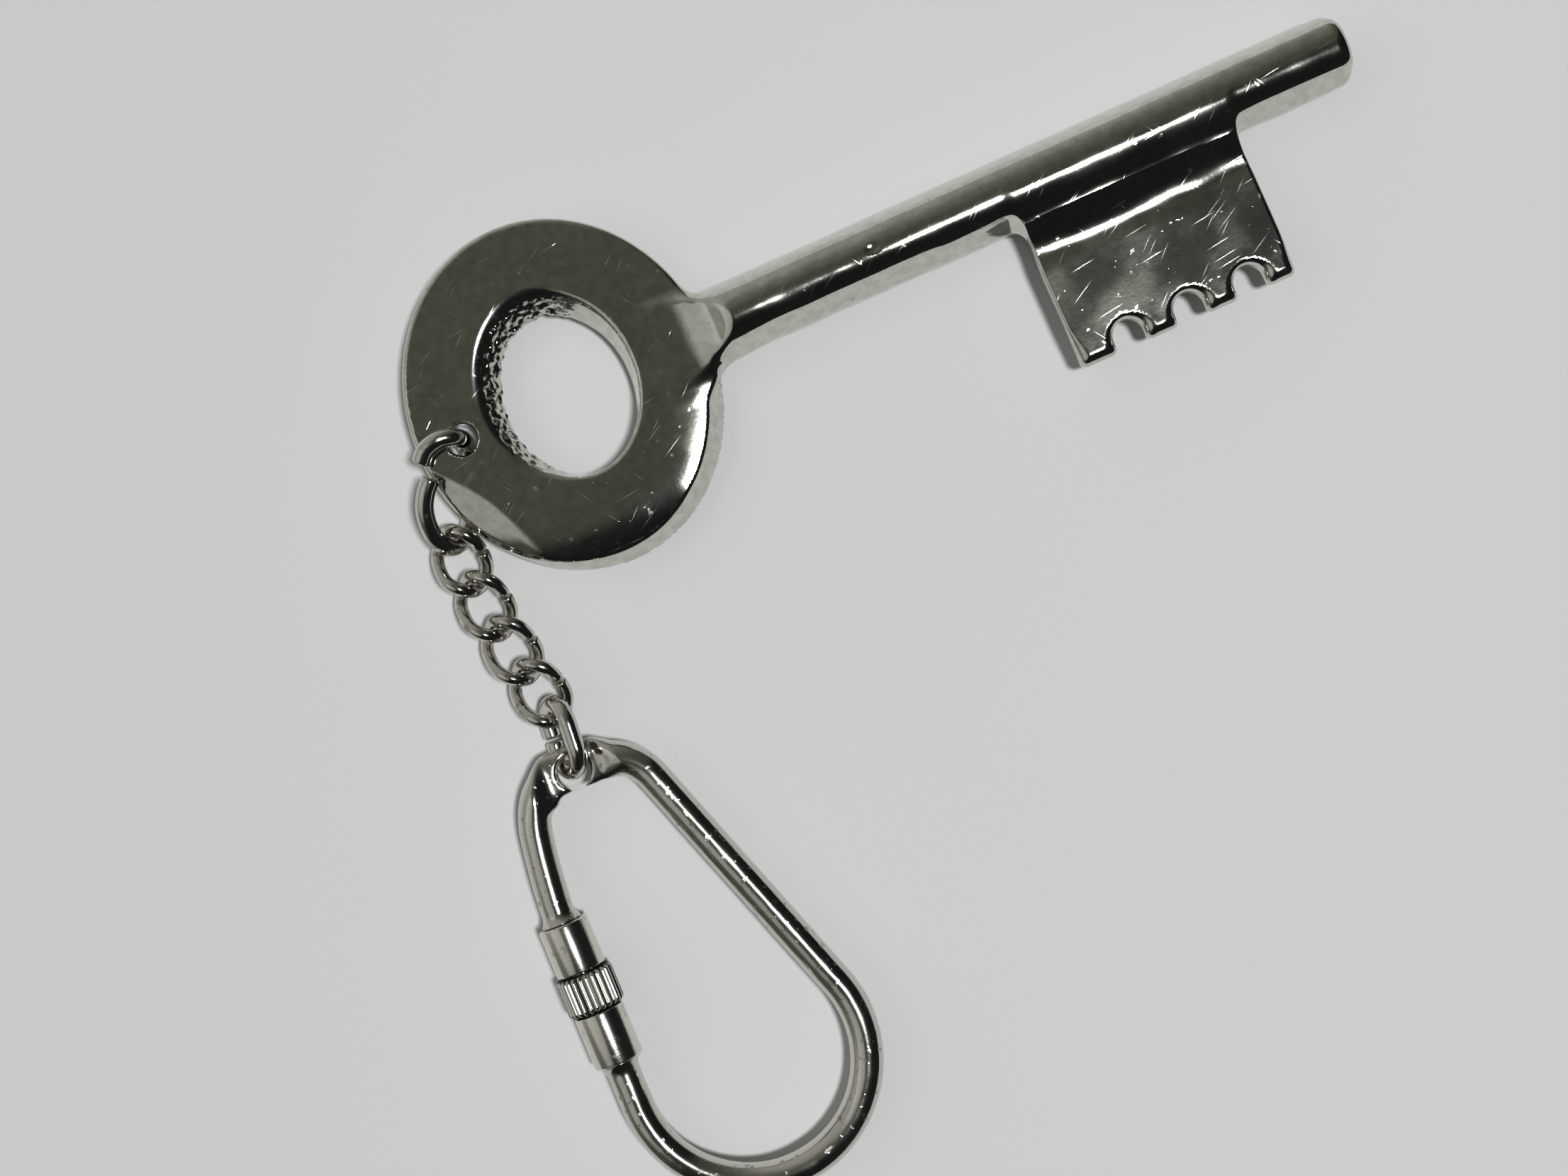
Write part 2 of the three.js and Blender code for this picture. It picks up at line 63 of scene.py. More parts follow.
camera.rotation_euler.z = math.atan2(VIEW_RIGHT.y, VIEW_RIGHT.x)
bpy.context.scene.camera = camera

# ---------------------------------------------------------------- key casting
# The key is one zinc casting under polished nickel: a flat oval bow, a drafted stem with
# a rounded back, and a thin bit with four teeth. Tumbling has softened every edge, and
# the sloped wall of the bow's oval hole is left rough as it came from the mould.
key_low, key_high = [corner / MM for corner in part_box("key_casting")]
PARTING_HEIGHT = key_high.z / 2
BOW_MIDDLE = -20.0
BOW_HALF_LENGTH = BOW_MIDDLE - key_low.x
BOW_HALF_WIDTH = key_high.y
BOW_HALF_THICKNESS = 1.5
STEM_HALF_WIDTH = 4.05
STEM_ARC_RADIUS = 4.15
SHOULDER = (2.7, 2.8)  # where the stem's rounded back meets its drafted wall
BACK_OFFSET = 0.3  # the rounded back sits a little to the side away from the bit
BIT_START, BIT_END = 29.9, 54.1
NOTCHES = (35.67, 42.5, 49.25)
NOTCH_RADIUS = 1.67
NOTCH_MIDDLE = -18.07
RING_HOLE = (-31.4, 1.6)
HOLE_HALF_LENGTH = 6.3  # the oval hole at its narrow end below
HOLE_HALF_WIDTH = 8.3
HOLE_FLARE = (1.5, 1.4)  # how much wider it is above
CROWN_WIDTH = 5.5  # the polished band along the rim
WALL_INSET = 0.6  # how far the drafted wall leans in for each mm of height
WORN_WIDTH = 3.1
WORN_FAN = 24  # how quickly the worn slope narrows to either side
WORN_SLOPE = 0.175
STEM_DRAFT = (0.992, 0.128)  # which way the stem's drafted wall faces
SCOOP_START = -7.5
SCOOP_LENGTH = 6.5
SCOOP_DEPTH = 0.9
SCOOP_RISE = 3.5
BIT_CORNER = 0.8
TOOTH_ROUNDING = 0.7
ROOT_START = -7.6  # where the bit begins to thicken towards the stem
ROOT_LENGTH = 3.4
NECK_BLEND = 2.0
BIT_BLEND = 1.6
KEY_CELL = 0.28

lattice = np.random.default_rng(11).random((24, 24, 24))


def lumps(points, size):
    """Smooth random lumps of about this size, from 0 to 1."""
    scaled = points / size
    base = np.floor(scaled).astype(int)
    part = scaled - base
    part = part * part * (3 - 2 * part)
    total = np.zeros(len(points))
    for corner in np.ndindex(2, 2, 2):
        weight = np.prod(np.where(corner, part, 1 - part), axis=1)
        i, j, k = ((base + corner) % len(lattice)).T
        total += weight * lattice[i, j, k]
    return total


def ease(value, low, high):
    part = np.clip((value - low) / (high - low), 0, 1)
    return part * part * (3 - 2 * part)


def joined(a, b, blend):
    """Two solids grown together with a fillet."""
    mix = np.clip(0.5 + 0.5 * (b - a) / blend, 0, 1)
    return b + (a - b) * mix - blend * mix * (1 - mix)


def trimmed(a, b, blend):
    """What two solids share, with its edge worn round."""
    return -joined(-a, -b, blend)


def plate(outline, height, rounding):
    """A flat plate from its outline's distance, with rounded edges."""
    across = outline + rounding
    up = height + rounding
    corner = np.hypot(np.maximum(across, 0), np.maximum(up, 0))
    return np.minimum(np.maximum(across, up), 0) + corner - rounding


def oval(x, y, half_x, half_y):
    near = np.hypot(x / half_x, y / half_y)
    far = np.hypot(x / half_x**2, y / half_y**2)
    return near * (near - 1) / np.maximum(far, 1e-9)


def key_shape(points, fine):
    """Distance in mm from the casting's surface, negative inside the metal."""
    x, y, z = points.T
    up = z - PARTING_HEIGHT

    # bow: crisp on one side; on the other its wall is drafted and its face is polished down
    # towards the rim; and it is worn to a slope where the chain swings
    from_middle = x - BOW_MIDDLE
    rim = oval(from_middle, y, BOW_HALF_LENGTH, BOW_HALF_WIDTH)
    distance = np.maximum(np.hypot(from_middle, y), 1)

    def facing(way_x, way_y):
        return (from_middle * way_x + y * way_y) / distance

    polished = ease(facing(0.25, -0.97), 0.15, 0.75)
    softened = ease(facing(0.4, -0.92), 0, 0.6)
    deep = ease(facing(-0.22, -0.98), 0.75, 0.97)
    drafted = ease(facing(0.64, -0.78), -0.2, 0.9) * ease(-y, 4.2, 7.0)
    thickness = 2 * BOW_HALF_THICKNESS
    top_rim = rim + WALL_INSET * thickness * drafted
    crown = np.clip((top_rim + CROWN_WIDTH) / CROWN_WIDTH, 0, 1) ** 3
    crown = crown * (0.25 * polished + 0.35 * deep)
    inside = rim + WORN_WIDTH - WORN_FAN * (1 - facing(-0.83, -0.56))
    slope_off = WORN_SLOPE * (np.hypot(inside, 0.4) + inside)
    height = np.abs(up) - BOW_HALF_THICKNESS + (crown + slope_off) * ease(up, -0.4, 0.25)
    rise = np.clip(up + BOW_HALF_THICKNESS, 0, thickness)
    rounding = 0.55 + 0.3 * softened * (1 - drafted) - 0.3 * drafted
    bow = plate(rim + WALL_INSET * drafted * rise, height, rounding)

    # stem: rounded back, drafted walls either side of the parting line, flat underside
    side = np.abs(y)
    back = np.hypot(y - BACK_OFFSET, z - (key_high.z - STEM_ARC_RADIUS)) - STEM_ARC_RADIUS
    shoulder = SHOULDER[0] + BACK_OFFSET * np.sign(y)
    slope = np.arctan2(STEM_HALF_WIDTH - shoulder, SHOULDER[1])
    wall = (side - STEM_HALF_WIDTH) * np.cos(slope) + up * np.sin(slope)
    draft = (side - STEM_HALF_WIDTH) * STEM_DRAFT[0] - up * STEM_DRAFT[1]
    stem = trimmed(trimmed(back, wall, 0.5), trimmed(draft, -z, 0.6), 0.4)
    stem = trimmed(stem, x - key_high.x, 1.5)
    run = np.clip((x - SCOOP_START) / SCOOP_LENGTH, -1, 2)
    scoop = SCOOP_RISE * np.sign(run) * np.abs(run) ** 1.5
    scoop = BOW_HALF_THICKNESS - SCOOP_DEPTH + scoop
    stem = trimmed(stem, np.abs(up) - scoop, 0.5)

    # bit, with its teeth rounded more than its plate
    middle, half = (BIT_START + BIT_END) / 2, (BIT_END - BIT_START) / 2
    outline = plate(np.abs(x - middle) - half, key_low.y - y, BIT_CORNER)
    for place in NOTCHES:
        over = np.maximum(y - NOTCH_MIDDLE, 0)
        notch = NOTCH_RADIUS - np.hypot(x - place, over)
        outline = trimmed(outline, notch, TOOTH_ROUNDING)
    outline = np.maximum(outline, y)
    edge = 0.4 + 0.75 * ease(-y, 14.5, 18.5)
    root = 0.9 * np.clip((y - ROOT_START) / ROOT_LENGTH, 0, 1.2) ** 2
    bit = plate(outline, np.abs(up) - BOW_HALF_THICKNESS - root, edge)

    # oval hole that slopes from a wide rim above to a narrower one below
    level = up / thickness + 0.5
    hole_x = from_middle - 0.6 + 0.5 * level
    hole_y = y + 0.3 - 1.3 * level
    half_x = HOLE_HALF_LENGTH + HOLE_FLARE[0] * level
    half_y = HOLE_HALF_WIDTH + HOLE_FLARE[1] * level
    hole = oval(hole_x, hole_y, half_x, half_y)
    rough_side = ease(-VIEW_RIGHT.x * hole_x - VIEW_RIGHT.y * hole_y, -1.5, 4.5)
    metal = np.where(x > 22, joined(stem, bit, BIT_BLEND), joined(bow, stem, NECK_BLEND))
    metal = trimmed(metal, -hole, 0.45 + 0.75 * rough_side)
    ring_hole = np.hypot(x - RING_HOLE[0], y) - RING_HOLE[1]
    metal = trimmed(metal, -ring_hole, 0.25)
    if not fine:
        return metal

    # slow waves of a hand-polished casting, and the pores of the unpolished places
    pores = lumps(points, 0.62) * 0.6 + lumps(points + 40, 0.33) * 0.4
    on_wall = ease(np.abs(hole), 0.9, 0.25)
    wall_rough = rough_side * on_wall * ease(up, 1.35, 0.75)
    neck_rough = ease(np.hypot(x + 3.6, y + 4.9), 2.4, 1.2) * ease(up, 1.6, 0.6)
    rough = np.maximum(wall_rough, 0.8 * neck_rough)
    waves = 0.05 * lumps(points, 5.5) + 0.02 * lumps(points + 9, 2.3)
    waves = waves + 0.03 * lumps(points + 5, 1.6) * ease(x, 24, 8) * ease(x, -1, 2)
    on_stem = ease(x, -2, 3) * ease(-y, 9, 5)
    ripple = 0.3 * lumps(points * (1, 0.6, 0.6) + 3, 3.2) * ease(-y, 1.6, 3) * on_stem
    nick = ease(np.hypot(x - 14.9, (y - 0.4) * 1.6), 1.1, 0.2) * ease(z, 6, 7)
    metal = metal + (waves * (0.4 + 0.9 * on_stem) + ripple) * ease(z, 0.1, 1.2)
    return metal + rough * 0.75 * (pores - 0.42) + 0.1 * nick


def skin(shape, low, high, cell):
    """Even quads on the surface of a shape, and the surface's true normals."""
    axes = [np.arange(a - 2 * cell, b + 3 * cell, cell) for a, b in zip(low, high)]
    size = np.array([len(axis) for axis in axes])
    grid = np.stack(np.meshgrid(*axes, indexing="ij"), -1).reshape(-1, 3)
    rows = [shape(part, False) for part in np.array_split(grid, 24)]
    value = np.concatenate(rows).reshape(size)
    inside = value < 0
    total = np.zeros((*(size - 1), 3))
    count = np.zeros(size - 1)
    crossings = []
    for axis in range(3):
        lower = [slice(None)] * 3
        upper = [slice(None)] * 3
        lower[axis], upper[axis] = slice(0, -1), slice(1, None)
        here, there = value[tuple(lower)], value[tuple(upper)]
        cut = (here < 0) != (there < 0)
        share = np.where(cut, here / np.where(cut, here - there, 1), 0)
        spot = np.stack(np.indices(here.shape), -1).astype(float)
        spot[..., axis] += share
        crossings.append((axis, cut, inside[tuple(lower)]))
        others = [a for a in range(3) if a != axis]
        for step in np.ndindex(2, 2):
            window = [slice(None)] * 3
            for other, by in zip(others, step):
                window[other] = slice(by, size[other] - 1 + by)
            window = tuple(window)
            total += np.where(cut[window][..., None], spot[window], 0)
            count += cut[window]
    index = -np.ones(size - 1, int)
    used = count > 0
    index[used] = np.arange(used.sum())
    start = np.array([axis[0] for axis in axes])
    points = total[used] / count[used][:, None] * cell + start
    quads = []
    for axis, cut, first_inside in crossings:
        spots = np.argwhere(cut)
        a, b = np.eye(3, dtype=int)[[(axis + 1) % 3, (axis + 2) % 3]]
        ring = [index[tuple((spots - shift).T)] for shift in (a + b, b, 0 * a, a)]
        quad = np.stack(ring, 1)
        outward = first_inside[cut]
        quads.append(np.where(outward[:, None], quad, quad[:, ::-1]))
    quads = np.concatenate(quads)
    edges = np.concatenate([quads[:, [i, (i + 1) % 4]] for i in range(4)])
    neighbours = np.bincount(edges[:, 0], minlength=len(points))

    def slope(at):
        rise = [
            (shape(at + step, True) - shape(at - step, True)) / 0.06
            for step in np.eye(3) * 0.03
        ]
        return np.stack(rise, 1)

    for turn in range(5):
        lean = slope(points)
        steep = np.maximum((lean**2).sum(1), 0.05)
        points = points - lean * (shape(points, True) / steep)[:, None]
        if turn < 3:
            nearby = np.stack(
                [
                    np.bincount(edges[:, 0], points[edges[:, 1], axis], len(points))
                    for axis in range(3)
                ],
                1,
            )
            pull = nearby / neighbours[:, None] - points
            normal = lean / np.sqrt(steep)[:, None]
            points += 0.6 * (pull - normal * (pull * normal).sum(1)[:, None])
    points = np.clip(points, low, high)
    lean = slope(points)
    return points, quads, lean / np.linalg.norm(lean, axis=1)[:, None]


def metal_piece(name, points, faces, normals, finish):
    """A piece from points in mm, with smooth shading by its true normals."""
    mesh = bpy.data.meshes.new(name)
    mesh.from_pydata((points * MM).tolist(), [], faces.tolist())
    mesh.shade_smooth()
    mesh.normals_split_custom_set_from_vertices(normals.tolist())
    mesh.materials.append(finish)
    piece = bpy.data.objects.new(name, mesh)
    bpy.context.scene.collection.objects.link(piece)
    return piece


class Signal:
    """A value on its way through a material, so that shader maths reads as arithmetic."""

    def __init__(self, finish, socket):
        self.finish = finish
        self.socket = socket

    def maths(self, operation, *values):
        settings = {"operation": operation}
        node = self.finish.node("ShaderNodeMath", settings, dict(enumerate(values)))
        return Signal(self.finish, node.outputs[0])

    def __add__(self, other):
        return self.maths("ADD", self, other)

    def __sub__(self, other):
        return self.maths("SUBTRACT", self, other)

    def __rsub__(self, other):
        return self.maths("SUBTRACT", other, self)

    def __mul__(self, other):
        return self.maths("MULTIPLY", self, other)

    def __gt__(self, other):
        return self.maths("GREATER_THAN", self, other)

    __radd__ = __add__
    __rmul__ = __mul__

    def between(self, low, high):
        sockets = {"Value": self, "From Min": low, "From Max": high}
        settings = {"interpolation_type": "SMOOTHSTEP"}
        node = self.finish.node("ShaderNodeMapRange", settings, sockets)
        return Signal(self.finish, node.outputs["Result"])


class Finish:
    """A plated metal finish, built up from its patterns."""

    def __init__(self, name):
        self.material = bpy.data.materials.new(name)
        self.material.use_nodes = True
        self.tree = self.material.node_tree
        self.shader = self.tree.nodes["Principled BSDF"]
        self.shader.inputs["Metallic"].default_value = 1
        coordinates = self.node("ShaderNodeTexCoord", {}, {})
        self.place = Signal(self, coordinates.outputs["Object"])

    def node(self, kind, settings, sockets):
        node = self.tree.nodes.new(kind)
        for name, value in settings.items():
            setattr(node, name, value)
        for key, value in sockets.items():
            if isinstance(value, Signal):
                self.tree.links.new(value.socket, node.inputs[key])
            else:
                node.inputs[key].default_value = value
        return node

    def vector(self, operation, *values):
        settings = {"operation": operation}
        node = self.node("ShaderNodeVectorMath", settings, dict(enumerate(values)))
        is_number = operation in ("LENGTH", "DOT_PRODUCT")
        return Signal(self, node.outputs["Value" if is_number else 0])

    def cloud(self, size, detail=3):
        sockets = {"Vector": self.place, "Scale": 1 / (size * MM), "Detail": detail}
        node = self.node("ShaderNodeTexNoise", {}, sockets)
        return Signal(self, node.outputs["Fac"])

    def strokes(self, turn, length, width, share):
        """Short straight scratches in one direction, on this share of their places."""
        scale = (length * MM, width * MM, 1)
        turned = self.node(
            "ShaderNodeMapping",
            {"vector_type": "TEXTURE"},
            {"Vector": self.place, "Rotation": (0, 0, math.radians(turn)), "Scale": scale},
        )
        vector = Signal(self, turned.outputs[0])
        settings = {"voronoi_dimensions": "2D"}
        cells = self.node("ShaderNodeTexVoronoi", settings, {"Vector": vector, "Scale": 1})
        near = 1 - Signal(self, cells.outputs["Distance"]).between(0.05, 0.3)
        colour = Signal(self, cells.outputs["Color"])
        pick = self.node("ShaderNodeSeparateColor", {}, {0: colour})
        return near * (Signal(self, pick.outputs[0]) > 1 - share)

    def tint(self, mask, plain, marked):
        sockets = {"Factor": mask, 6: (*plain, 1), 7: (*marked, 1)}
        mix = self.node("ShaderNodeMix", {"data_type": "RGBA"}, sockets)
        return Signal(self, mix.outputs[2])

    def relief(self, height, depth, strength=1):
        sockets = {"Height": height, "Distance": depth * MM, "Strength": strength}
        node = self.node("ShaderNodeBump", {}, sockets)
        return Signal(self, node.outputs["Normal"])

    def plate(self, **surfaces):
        names = {"colour": "Base Color", "roughness": "Roughness", "normal": "Normal"}
        for name, value in surfaces.items():
            self.tree.links.new(value.socket, self.shader.inputs[names[name]])
        return self.material


cast = Finish("cast_nickel_finish")
scratches = (
    cast.strokes(8, 6.5, 0.13, 0.018)
    + cast.strokes(43, 4.6, 0.13, 0.022)
    + cast.strokes(30, 7.5, 0.12, 0.02)
    + cast.strokes(-56, 3.6, 0.13, 0.014)
)
handling = cast.cloud(6, 5).between(0.42, 0.66)
grain = cast.cloud(0.35, 2)
specks = cast.cloud(0.9, 6).between(0.66, 0.72)
mottle = cast.cloud(1.1, 8).between(0.35, 0.65)
cast_nickel = cast.plate(
    colour=cast.tint(specks * 0.5 + mottle * 0.35, (0.66, 0.65, 0.59), (0.36, 0.36, 0.31)),
    roughness=0.062 + handling * 0.03 + scratches * 0.12 + specks * 0.08,
    normal=cast.relief(grain * 0.5 - scratches * 0.25 - specks * 0.5, 0.006),
)

points, quads, normals = skin(key_shape, key_low, key_high, KEY_CELL)
key = metal_piece("key", points, quads, normals, cast_nickel)
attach(key, "key")
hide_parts("key_casting")

# ---------------------------------------------------------------- key ring
# An open jump ring of nickel-plated steel wire, sprung out of flat. It rises through the
# bow's small hole, bends over the rim and returns below; its two cut ends stand apart.
pivots = {joint["name"]: Vector(joint["pos_m"]) / MM for joint in frame["joints"]}
RING_WIRE = 0.95
KEY_RING_BENDS = (
    (-4.75, -0.7, 6.5), (-3.6, 0.35, 6.75), (-2.0, 0.75, 6.85), (-0.6, 0.45, 6.4),
    (-0.02, 0.08, 5.0), (0, 0, 3.7), (-0.1, -0.35, 2.2), (-0.45, -1.5, 1.2),
    (-1.4, -4.2, 1.1), (-2.7, -7.0, 1.2), (-4.0, -8.9, 1.9), (-5.5, -9.57, 3.05),
    (-6.5, -8.7, 4.3), (-6.7, -7.0, 5.3), (-6.3, -5.1, 6.0), (-5.4, -3.6, 6.4),
    (-4.35, -2.5, 6.55),
)


def smooth_path(bends, steps):
    """A centripetal spline through the bends, in even small steps."""
    bends = np.array(bends, float)
    first, last = 2 * bends[0] - bends[1], 2 * bends[-1] - bends[-2]
    bends = np.vstack([first, bends, last])
    knots = np.linalg.norm(np.diff(bends, axis=0), axis=1) ** 0.5
    path = []
    for i in range(1, len(bends) - 2):
        a, b, c, d = bends[i - 1 : i + 3]
        t = np.concatenate([[0], np.cumsum(knots[i - 1 : i + 2])])
        for now in np.linspace(t[1], t[2], steps, endpoint=False):
            ab = (a * (t[1] - now) + b * now) / t[1]
            bc = (b * (t[2] - now) + c * (now - t[1])) / (t[2] - t[1])
            cd = (c * (t[3] - now) + d * (now - t[2])) / (t[3] - t[2])
            abc = (ab * (t[2] - now) + bc * now) / t[2]
            bcd = (bc * (t[3] - now) + cd * (now - t[1])) / (t[3] - t[1])
            path.append((abc * (t[2] - now) + bcd * (now - t[1])) / (t[2] - t[1]))
    return np.array(path + [bends[-2]])


def with_cut_ends(path, rounding):
    """The path in even steps, with the short steps that a deburred cut end needs."""
    length = np.concatenate([[0], np.cumsum(np.linalg.norm(np.diff(path, axis=0), axis=1))])
    short = rounding * (1 - np.cos(np.linspace(0, math.pi / 2, 6)))
    inner = np.linspace(rounding, length[-1] - rounding, int(length[-1] / 0.16))
    spots = np.concatenate([short[:-1], inner, length[-1] - short[-2::-1]])
    return np.stack([np.interp(spots, length, path[:, axis]) for axis in range(3)], 1)


class Workshop:
    """A Geometry Nodes tree with named inputs for its sizes."""

    def __init__(self, name, inputs):
        self.tree = bpy.data.node_groups.new(name, "GeometryNodeTree")
        interface = self.tree.interface
        self.identifiers = {}
        for title, kind in inputs.items():
            socket = interface.new_socket(title, in_out="INPUT", socket_type=kind)
            self.identifiers[title] = socket.identifier
        interface.new_socket("Geometry", in_out="OUTPUT", socket_type="NodeSocketGeometry")
        self.given = self.tree.nodes.new("NodeGroupInput").outputs

    def add(self, kind, settings, sockets):
        node = self.tree.nodes.new(kind)
        for name, value in settings.items():
            setattr(node, name, value)
        for key, value in sockets.items():
            if isinstance(value, bpy.types.NodeSocket):
                self.tree.links.new(value, node.inputs[key])
            else:
                node.inputs[key].default_value = value
        return node.outputs

    def maths(self, operation, *values):
        settings = {"operation": operation}
        return self.add("ShaderNodeMath", settings, dict(enumerate(values)))[0]

    def deliver(self, geometry):
        real = self.add("GeometryNodeRealizeInstances", {}, {0: geometry})[0]
        sockets = {"Geometry": real, "Material": self.given["Finish"]}
        coated = self.add("GeometryNodeSetMaterial", {}, sockets)[0]
        self.tree.links.new(coated, self.tree.nodes.new("NodeGroupOutput").inputs[0])

    def make(self, name, start, values):
        """Runs the tree on a mesh and leaves a plain mesh piece."""
        piece = bpy.data.objects.new(name, start)
        bpy.context.scene.collection.objects.link(piece)
        modifier = piece.modifiers.new(self.tree.name, "NODES")
        modifier.node_group = self.tree
        for title, value in values.items():
            modifier[self.identifiers[title]] = value
        bpy.context.view_layer.update()
        solid = piece.evaluated_get(bpy.context.evaluated_depsgraph_get())
        made = bpy.data.meshes.new_from_object(solid)
        piece.modifiers.clear()
        piece.data = made
        made.name = name
        return piece


wire_bender = Workshop(
    "wire_bender",
    {
        "Path": "NodeSocketGeometry",
        "Wire radius": "NodeSocketFloat",
        "Cut rounding": "NodeSocketFloat",
        "Sides": "NodeSocketInt",
        "Finish": "NodeSocketMaterial",
    },
)
given = wire_bender.given
path_curve = wire_bender.add("GeometryNodeMeshToCurve", {}, {"Mesh": given["Path"]})[0]
along = wire_bender.add("GeometryNodeSplineParameter", {}, {})["Length"]
whole = wire_bender.add("GeometryNodeSplineLength", {}, {})["Length"]
from_end = wire_bender.maths("MINIMUM", along, wire_bender.maths("SUBTRACT", whole, along))
short_of = wire_bender.maths("SUBTRACT", given["Cut rounding"], from_end)
short_of = wire_bender.maths("MAXIMUM", short_of, 0.0)
squares = [wire_bender.maths("MULTIPLY", v, v) for v in (given["Cut rounding"], short_of)]
left_over = wire_bender.maths("SUBTRACT", *squares)
rounded = wire_bender.maths("SQRT", wire_bender.maths("MAXIMUM", left_over, 0.0))
inset = wire_bender.maths("SUBTRACT", given["Cut rounding"], rounded)
girth = wire_bender.maths("SUBTRACT", given["Wire radius"], inset)
section = wire_bender.add(
    "GeometryNodeCurvePrimitiveCircle", {}, {"Resolution": given["Sides"], "Radius": 1.0}
)[0]
drawn = wire_bender.add(
    "GeometryNodeCurveToMesh",
    {},
    {"Curve": path_curve, "Profile Curve": section, "Scale": girth, "Fill Caps": True},
)[0]
smooth = wire_bender.add("GeometryNodeSetShadeSmooth", {}, {0: drawn})[0]
wire_bender.deliver(smooth)


def bent_wire(name, path, radius, sides, finish):
    rounding = 0.3 * radius
    path = with_cut_ends(path, rounding) * MM
    start = bpy.data.meshes.new(name)
    steps = [(i, i + 1) for i in range(len(path) - 1)]
    start.from_pydata(path.tolist(), steps, [])
    sizes = {"Wire radius": radius * MM, "Cut rounding": rounding * MM}
    piece = wire_bender.make(name, start, {**sizes, "Sides": sides, "Finish": finish})
    piece.data.set_sharp_from_angle(angle=math.radians(60))
    return piece


ring = Finish("ring_nickel_finish")
draw_lines = ring.cloud(0.5, 5)
ring_dirt = ring.cloud(1.6, 5).between(0.56, 0.7)
ring_nickel = ring.plate(
    colour=ring.tint(ring_dirt, (0.6, 0.585, 0.53), (0.34, 0.325, 0.28)),
    roughness=0.09 + draw_lines * 0.05 + ring_dirt * 0.12,
    normal=ring.relief(draw_lines - ring_dirt * 0.5, 0.012),
)

bends = [(pivots["key_ring_swing"].x + x, y, z) for x, y, z in KEY_RING_BENDS]
key_ring = bent_wire("key_jump_ring", smooth_path(bends, 12), RING_WIRE, 28, ring_nickel)
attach(key_ring, "key_ring")
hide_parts("key_ring")

# ---------------------------------------------------------------- chain
# Four curb links of plated steel wire. Each is wound as a long oval, butted on one side,
# and twisted so that the chain lies flat; a link hangs between two pivots.
LINK_WIRE = 0.7
LINK_HALF_LENGTH = 3.43
LINK_HALF_WIDTH = 2.38
LINK_TWIST = 55
CUT_GAP = 0.3
CHAIN_HEIGHT = pivots["loop_swing"].z


def oval_path(half_length, half_width, twist, gap):
    """A round-ended oval from one side of its cut to the other, twisted about its length."""
    straight = half_length - half_width
    bend = np.linspace(0, math.pi, 48)
    down = np.linspace(-gap / 2, -straight, 12)[:-1]
    up = np.linspace(-straight, straight, 16)[1:-1]
    x = np.concatenate([
        0 * down + half_width, half_width * np.cos(bend),
        0 * up - half_width, -half_width * np.cos(bend), 0 * down + half_width,
    ])
    y = np.concatenate([
        down, -straight - half_width * np.sin(bend),
        up, straight + half_width * np.sin(bend), -down[::-1],
    ])
    turn = np.radians(twist * y / half_length)
    return np.stack([x * np.cos(turn), y, x * np.sin(turn)], 1)


def laid(path, middle, heading):
    """Puts a path whose own -Y leads along the chain at its place on the ground."""
    turn = heading + math.pi / 2
    x, y, z = path.T
    east = x * math.cos(turn) - y * math.sin(turn) + middle[0]
    north = x * math.sin(turn) + y * math.cos(turn) + middle[1]
    return np.stack([east, north, z + CHAIN_HEIGHT], 1)


link = Finish("chain_nickel_finish")
link_lines = link.cloud(0.4, 5)
link_dirt = link.cloud(1.2, 5).between(0.54, 0.68)
chain_nickel = link.plate(
    colour=link.tint(link_dirt, (0.58, 0.565, 0.51), (0.3, 0.285, 0.24)),
    roughness=0.09 + link_lines * 0.05 + link_dirt * 0.12,
    normal=link.relief(link_lines - link_dirt * 0.5, 0.012),
)

chain_stops = [
    pivots[name]
    for name in ("link_1_swing", "link_2_lift", "link_3_swing", "link_4_lift", "loop_ring_swing")
]
for number in range(4):
    start, end = chain_stops[number], chain_stops[number + 1]
    heading = math.atan2(end.y - start.y, end.x - start.x)
    path = oval_path(LINK_HALF_LENGTH, LINK_HALF_WIDTH, LINK_TWIST, CUT_GAP)
    path = laid(path, (start + end) / 2, heading)
    curb = bent_wire(f"curb_link_{number + 1}", path, LINK_WIRE, 24, chain_nickel)
    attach(curb, f"link_{number + 1}")
    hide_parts(f"chain_link_{number + 1}")

# ---------------------------------------------------------------- loop ring
# A stouter jump ring joins the last link to the loop's eye. It stands half on edge, and
# leans so that one side rests low on the table.
LOOP_RING_HALF_LENGTH = 3.65
LOOP_RING_HALF_WIDTH = 2.425
LOOP_RING_LEAN = 30
eye, last_stop = pivots["loop_swing"], pivots["loop_ring_swing"]
heading = math.atan2(eye.y - last_stop.y, eye.x - last_stop.x)
path = oval_path(LOOP_RING_HALF_LENGTH, LOOP_RING_HALF_WIDTH, 0, CUT_GAP)
tip_over = math.radians(90 + LOOP_RING_LEAN)
path = path @ np.array(Matrix.Rotation(tip_over, 3, "Y")).T
back = LOOP_RING_HALF_LENGTH
middle = (eye.x - back * math.cos(heading), eye.y - back * math.sin(heading))
loop_ring = bent_wire("loop_jump_ring", laid(path, middle, heading), RING_WIRE, 28, ring_nickel)
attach(loop_ring, "loop_ring")
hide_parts("loop_ring")

